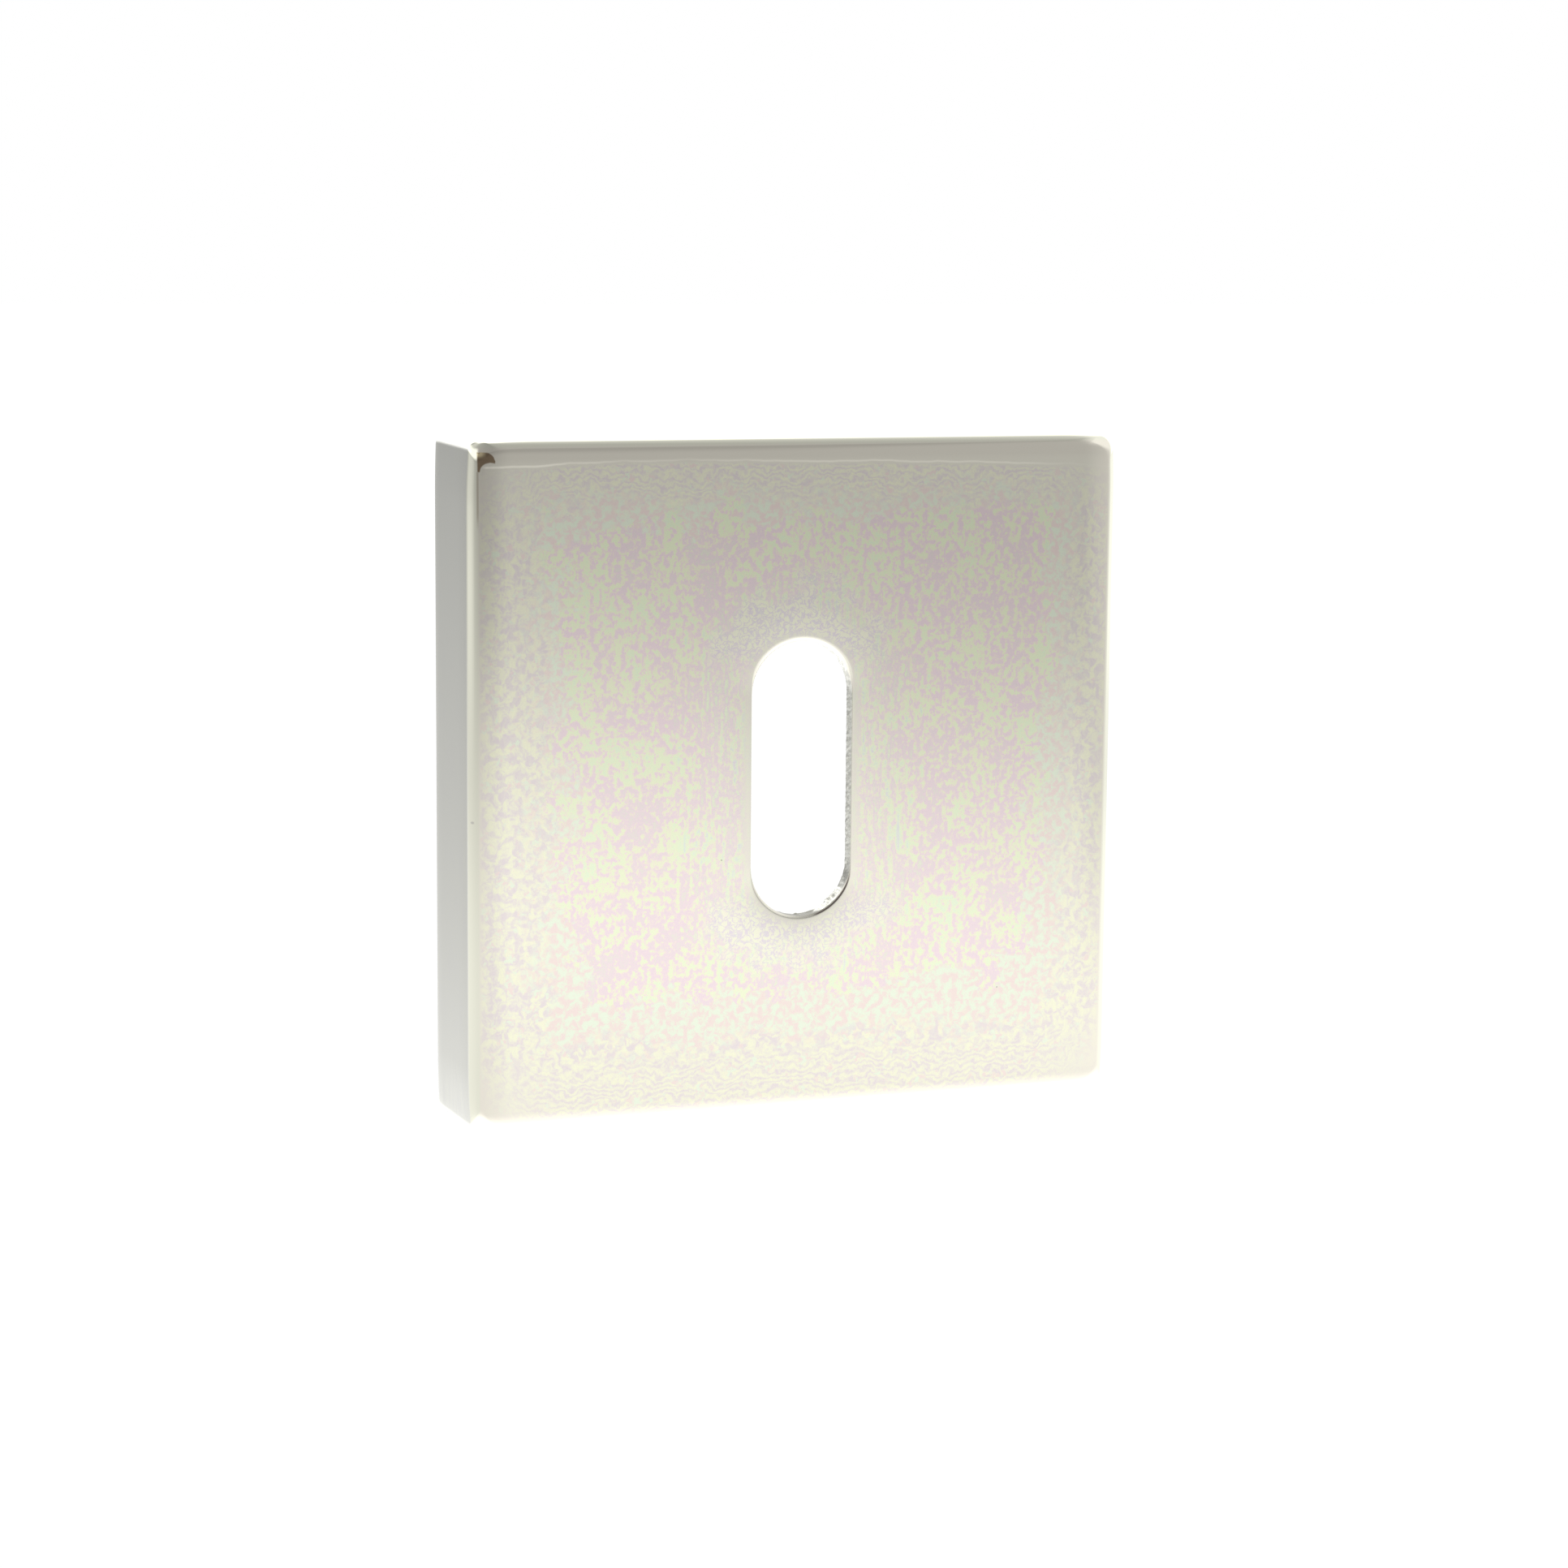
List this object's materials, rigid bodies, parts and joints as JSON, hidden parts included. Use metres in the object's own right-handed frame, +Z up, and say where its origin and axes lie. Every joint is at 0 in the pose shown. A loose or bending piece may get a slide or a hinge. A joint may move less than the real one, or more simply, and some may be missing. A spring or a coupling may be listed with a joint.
{
  "type": "keyhole escutcheon",
  "caption": "Square keyhole escutcheon: hollow plated cover with an upright key slot, pushed over a moulded base that screws to the door.",
  "frame": {"origin": "middle of the door plane, half way between the screw holes", "axes": "+X to the right seen from the front, +Y from the front face into the door, +Z up along the key slot"},
  "size_m": [0.054, 0.01, 0.054],
  "materials": {
    "nickel_plate": "polished",
    "nylon": "satin"
  },
  "bodies": {
    "root": {"cover": "nickel_plate", "fixing_base": "nylon"}
  },
  "joints": []
}
